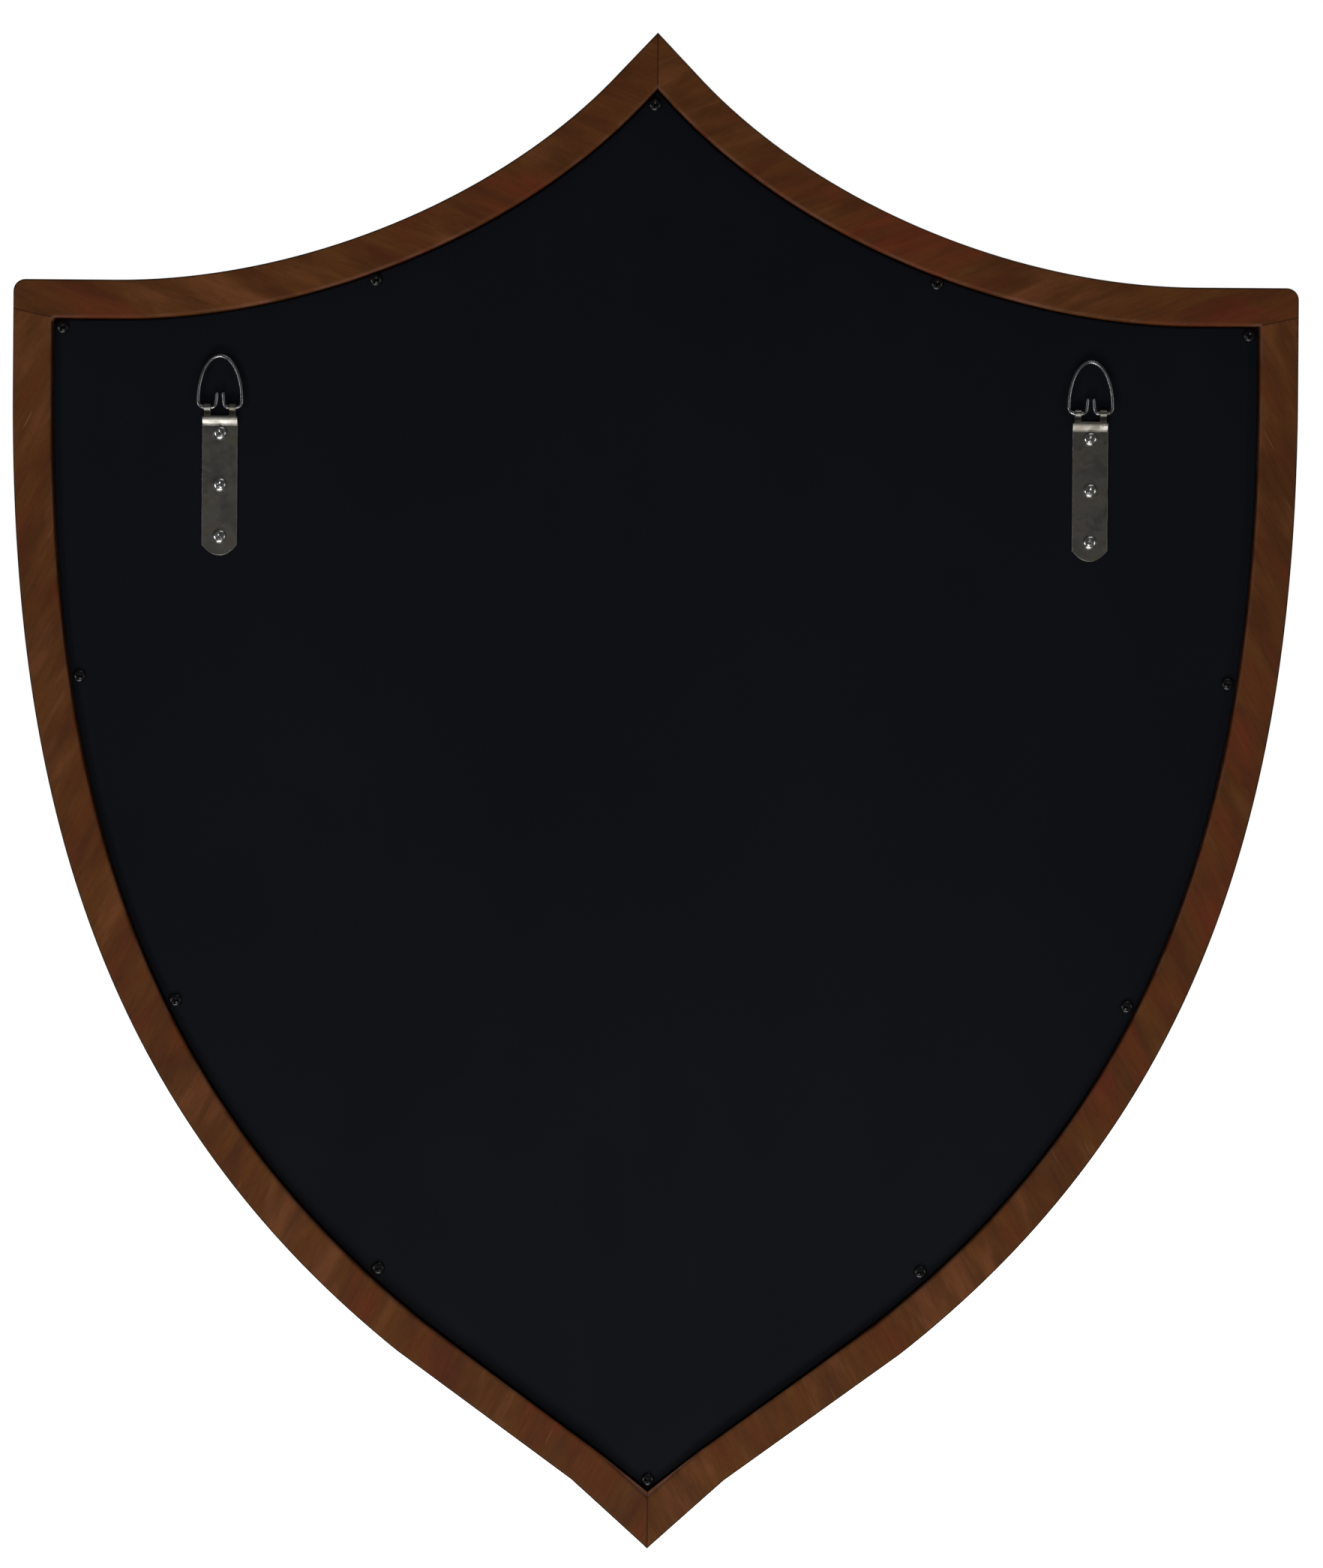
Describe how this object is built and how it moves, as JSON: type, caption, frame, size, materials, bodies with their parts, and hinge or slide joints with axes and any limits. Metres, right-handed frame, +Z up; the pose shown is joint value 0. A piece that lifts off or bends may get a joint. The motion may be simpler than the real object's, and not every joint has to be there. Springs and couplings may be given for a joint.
{
  "type": "wooden wall plaque",
  "caption": "Shield-shaped wooden wall plaque: moulded frame, flat front panel, black screwed back board and strap hangers with swinging wire rings.",
  "frame": {"origin": "on the wall plane (y = 0), midway between the points where the two hanger rings bear on their wall hooks", "axes": "+Z up to the apex, -Y out of the front into the room, +Y into the wall, +X to the right as seen from the front"},
  "size_m": [0.59, 0.025, 0.6958],
  "materials": {
    "frame_wood": "dark reddish-brown stained hardwood, satin lacquer",
    "panel_wood": "dark stained veneer, satin lacquer",
    "joint_wood": "bare birch",
    "board_black": "black painted hardboard, matt",
    "strap_steel": "dull zinc-plated steel strip",
    "ring_steel": "bright zinc-plated wire",
    "black_steel": "black oxide, semi-gloss",
    "bright_steel": "bright zinc plating"
  },
  "bodies": {
    "plaque": {"left_top_rail": "frame_wood", "left_side_rail": "frame_wood", "right_top_rail": "frame_wood", "right_side_rail": "frame_wood", "apex_mitre_key": "joint_wood", "tip_mitre_key": "joint_wood", "left_back_dowel": "joint_wood", "left_front_dowel": "joint_wood", "right_back_dowel": "joint_wood", "right_front_dowel": "joint_wood", "front_panel": "panel_wood", "back_board": "board_black", "apex_board_screw": "black_steel", "right_brow_board_screw": "black_steel", "right_shoulder_board_screw": "black_steel", "right_side_upper_board_screw": "black_steel", "right_side_lower_board_screw": "black_steel", "right_run_board_screw": "black_steel", "tip_board_screw": "black_steel", "left_run_board_screw": "black_steel", "left_side_lower_board_screw": "black_steel", "left_side_upper_board_screw": "black_steel", "left_shoulder_board_screw": "black_steel", "left_brow_board_screw": "black_steel", "left_hanger_strap": "strap_steel", "left_hanger_top_screw": "bright_steel", "left_hanger_middle_screw": "bright_steel", "left_hanger_bottom_screw": "bright_steel", "right_hanger_strap": "strap_steel", "right_hanger_top_screw": "bright_steel", "right_hanger_middle_screw": "bright_steel", "right_hanger_bottom_screw": "bright_steel"},
    "left_ring": {"left_hanger_ring": "ring_steel"},
    "right_ring": {"right_hanger_ring": "ring_steel"}
  },
  "joints": [
    {"name": "left_ring_swing", "type": "hinge", "parent": "plaque", "child": "left_ring", "pos_m": [-0.2, -0.0028, -0.0227], "axis": [-1, 0, 0], "range_deg": [0, 155]},
    {"name": "right_ring_swing", "type": "hinge", "parent": "plaque", "child": "right_ring", "pos_m": [0.2, -0.0028, -0.0227], "axis": [-1, 0, 0], "range_deg": [0, 155]}
  ]
}
